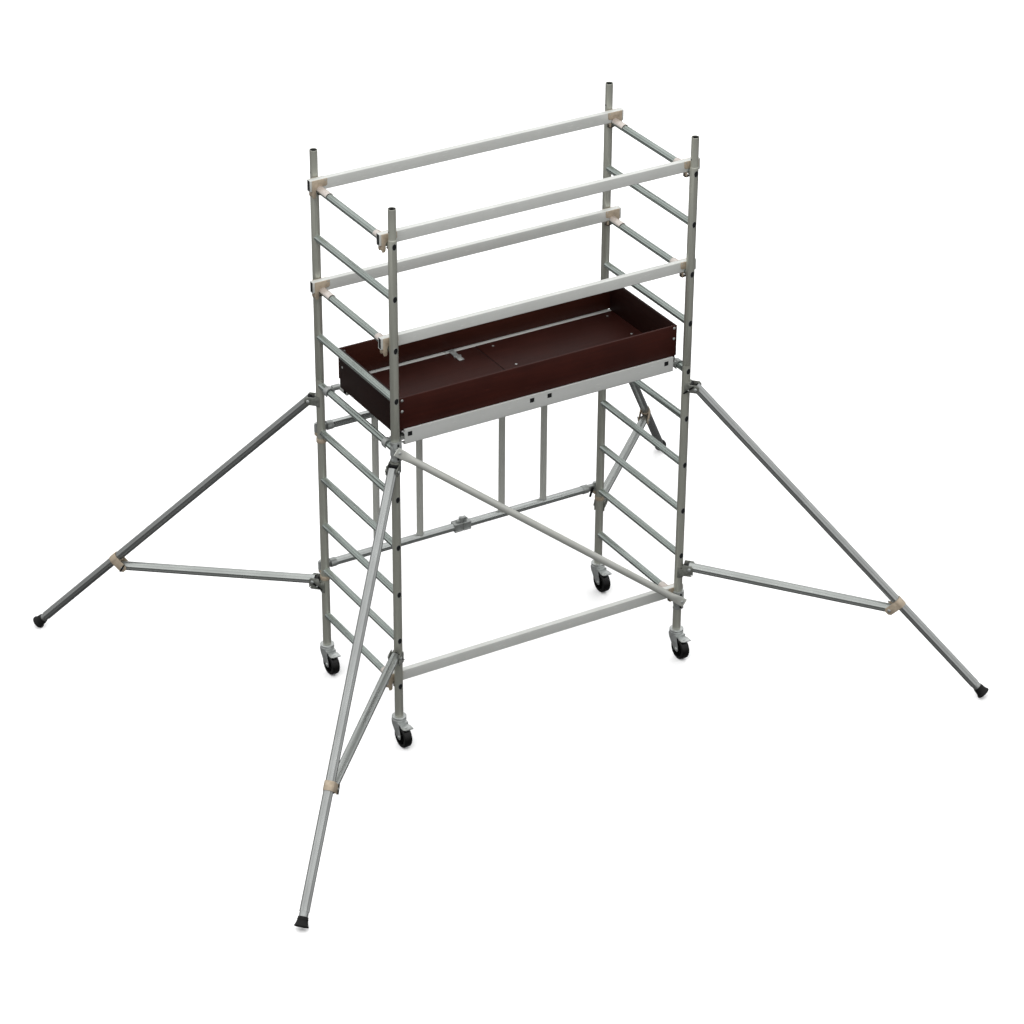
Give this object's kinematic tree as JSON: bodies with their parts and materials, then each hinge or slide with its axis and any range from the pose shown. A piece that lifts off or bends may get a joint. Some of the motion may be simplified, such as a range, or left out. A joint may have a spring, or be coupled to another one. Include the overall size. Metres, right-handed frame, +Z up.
{
  "type": "mobile tower scaffold",
  "caption": "Mobile aluminium scaffold tower with ladder frames, braked casters, a trapdoor platform with toe boards, guardrails and telescopic stabilisers.",
  "frame": {"origin": "centre of the footprint, on the ground", "axes": "+X along the platform, -Y the front with the diagonal brace, +Z up"},
  "size_m": [4.1968, 3.2758, 3.072],
  "materials": {
    "post_metal": "satin",
    "rail_metal": "satin",
    "cast_metal": "cast",
    "zinc": "zinc plated",
    "brown_board": "film faced, matt",
    "black_board": "film faced, matt",
    "black_rubber": "matt"
  },
  "bodies": {
    "tower": {"base_frame_left": "post_metal", "upper_frame_left": "post_metal", "gate_left": "post_metal", "gate_bracket_top_left": "cast_metal", "gate_bracket_bottom_left": "cast_metal", "cross_member_left": "rail_metal", "toe_board_left": "black_board", "base_frame_right": "post_metal", "upper_frame_right": "post_metal", "gate_right": "post_metal", "gate_bracket_top_right": "cast_metal", "gate_bracket_bottom_right": "cast_metal", "cross_member_right": "rail_metal", "toe_board_right": "black_board", "guardrail_top_front": "rail_metal", "guardrail_middle_front": "rail_metal", "beam_front": "rail_metal", "toe_board_front": "brown_board", "guardrail_top_rear": "rail_metal", "guardrail_middle_rear": "rail_metal", "beam_rear": "rail_metal", "toe_board_rear": "brown_board", "bottom_brace": "rail_metal", "diagonal_brace": "rail_metal", "deck_fixed": "brown_board"},
    "trapdoor": {"trapdoor": "brown_board"},
    "latch": {"trapdoor_latch": "zinc"},
    "caster_front_left": {"caster_fork_front_left": "zinc"},
    "wheel_front_left": {"caster_wheel_front_left": "black_rubber"},
    "pedal_front_left": {"caster_pedal_front_left": "zinc"},
    "stabiliser_front_left": {"stabiliser_tube_front_left": "rail_metal", "stabiliser_strut_front_left": "rail_metal", "stabiliser_clamp_top_front_left": "cast_metal", "stabiliser_clamp_bottom_front_left": "cast_metal"},
    "leg_front_left": {"stabiliser_leg_front_left": "rail_metal"},
    "caster_front_right": {"caster_fork_front_right": "zinc"},
    "wheel_front_right": {"caster_wheel_front_right": "black_rubber"},
    "pedal_front_right": {"caster_pedal_front_right": "zinc"},
    "stabiliser_front_right": {"stabiliser_tube_front_right": "rail_metal", "stabiliser_strut_front_right": "rail_metal", "stabiliser_clamp_top_front_right": "cast_metal", "stabiliser_clamp_bottom_front_right": "cast_metal"},
    "leg_front_right": {"stabiliser_leg_front_right": "rail_metal"},
    "caster_rear_left": {"caster_fork_rear_left": "zinc"},
    "wheel_rear_left": {"caster_wheel_rear_left": "black_rubber"},
    "pedal_rear_left": {"caster_pedal_rear_left": "zinc"},
    "stabiliser_rear_left": {"stabiliser_tube_rear_left": "rail_metal", "stabiliser_strut_rear_left": "rail_metal", "stabiliser_clamp_top_rear_left": "cast_metal", "stabiliser_clamp_bottom_rear_left": "cast_metal"},
    "leg_rear_left": {"stabiliser_leg_rear_left": "rail_metal"},
    "caster_rear_right": {"caster_fork_rear_right": "zinc"},
    "wheel_rear_right": {"caster_wheel_rear_right": "black_rubber"},
    "pedal_rear_right": {"caster_pedal_rear_right": "zinc"},
    "stabiliser_rear_right": {"stabiliser_tube_rear_right": "rail_metal", "stabiliser_strut_rear_right": "rail_metal", "stabiliser_clamp_top_rear_right": "cast_metal", "stabiliser_clamp_bottom_rear_right": "cast_metal"},
    "leg_rear_right": {"stabiliser_leg_rear_right": "rail_metal"}
  },
  "joints": [
    {"name": "trapdoor_hinge", "type": "hinge", "parent": "tower", "child": "trapdoor", "pos_m": [-0.42, -0.331, 1.838], "axis": [1, 0, 0], "range_deg": [0, 88]},
    {"name": "latch_slide", "type": "slide", "parent": "trapdoor", "child": "latch", "axis": [0, -1, 0], "range_m": [0, 0.03]},
    {"name": "swivel_front_left", "type": "hinge", "parent": "tower", "child": "caster_front_left", "pos_m": [-0.868, -0.4075, 0.154], "axis": [0, 0, 1], "continuous": true},
    {"name": "wheel_spin_front_left", "type": "hinge", "parent": "caster_front_left", "child": "wheel_front_left", "pos_m": [-0.868, -0.4525, 0.0625], "axis": [1, 0, 0], "continuous": true},
    {"name": "brake_pedal_front_left", "type": "hinge", "parent": "caster_front_left", "child": "pedal_front_left", "pos_m": [-0.868, -0.448, 0.1315], "axis": [-1, 0, 0], "range_deg": [0, 15]},
    {"name": "stabiliser_swing_front_left", "type": "hinge", "parent": "tower", "child": "stabiliser_front_left", "pos_m": [-0.868, -0.4075, 1.663], "axis": [0, 0, 1], "range_deg": [-40, 40]},
    {"name": "leg_slide_front_left", "type": "slide", "parent": "stabiliser_front_left", "child": "leg_front_left", "axis": [-0.5, -0.5, -0.7071], "range_m": [0, 0.35]},
    {"name": "swivel_front_right", "type": "hinge", "parent": "tower", "child": "caster_front_right", "pos_m": [0.868, -0.4075, 0.154], "axis": [0, 0, 1], "continuous": true},
    {"name": "wheel_spin_front_right", "type": "hinge", "parent": "caster_front_right", "child": "wheel_front_right", "pos_m": [0.868, -0.4525, 0.0625], "axis": [1, 0, 0], "continuous": true},
    {"name": "brake_pedal_front_right", "type": "hinge", "parent": "caster_front_right", "child": "pedal_front_right", "pos_m": [0.868, -0.448, 0.1315], "axis": [-1, 0, 0], "range_deg": [0, 15]},
    {"name": "stabiliser_swing_front_right", "type": "hinge", "parent": "tower", "child": "stabiliser_front_right", "pos_m": [0.868, -0.4075, 1.663], "axis": [0, 0, 1], "range_deg": [-40, 40]},
    {"name": "leg_slide_front_right", "type": "slide", "parent": "stabiliser_front_right", "child": "leg_front_right", "axis": [0.5, -0.5, -0.7071], "range_m": [0, 0.35]},
    {"name": "swivel_rear_left", "type": "hinge", "parent": "tower", "child": "caster_rear_left", "pos_m": [-0.868, 0.4075, 0.154], "axis": [0, 0, 1], "continuous": true},
    {"name": "wheel_spin_rear_left", "type": "hinge", "parent": "caster_rear_left", "child": "wheel_rear_left", "pos_m": [-0.868, 0.3625, 0.0625], "axis": [1, 0, 0], "continuous": true},
    {"name": "brake_pedal_rear_left", "type": "hinge", "parent": "caster_rear_left", "child": "pedal_rear_left", "pos_m": [-0.868, 0.367, 0.1315], "axis": [-1, 0, 0], "range_deg": [0, 15]},
    {"name": "stabiliser_swing_rear_left", "type": "hinge", "parent": "tower", "child": "stabiliser_rear_left", "pos_m": [-0.868, 0.4075, 1.663], "axis": [0, 0, 1], "range_deg": [-40, 40]},
    {"name": "leg_slide_rear_left", "type": "slide", "parent": "stabiliser_rear_left", "child": "leg_rear_left", "axis": [-0.5, 0.5, -0.7071], "range_m": [0, 0.35]},
    {"name": "swivel_rear_right", "type": "hinge", "parent": "tower", "child": "caster_rear_right", "pos_m": [0.868, 0.4075, 0.154], "axis": [0, 0, 1], "continuous": true},
    {"name": "wheel_spin_rear_right", "type": "hinge", "parent": "caster_rear_right", "child": "wheel_rear_right", "pos_m": [0.868, 0.3625, 0.0625], "axis": [1, 0, 0], "continuous": true},
    {"name": "brake_pedal_rear_right", "type": "hinge", "parent": "caster_rear_right", "child": "pedal_rear_right", "pos_m": [0.868, 0.367, 0.1315], "axis": [-1, 0, 0], "range_deg": [0, 15]},
    {"name": "stabiliser_swing_rear_right", "type": "hinge", "parent": "tower", "child": "stabiliser_rear_right", "pos_m": [0.868, 0.4075, 1.663], "axis": [0, 0, 1], "range_deg": [-40, 40]},
    {"name": "leg_slide_rear_right", "type": "slide", "parent": "stabiliser_rear_right", "child": "leg_rear_right", "axis": [0.5, 0.5, -0.7071], "range_m": [0, 0.35]}
  ]
}
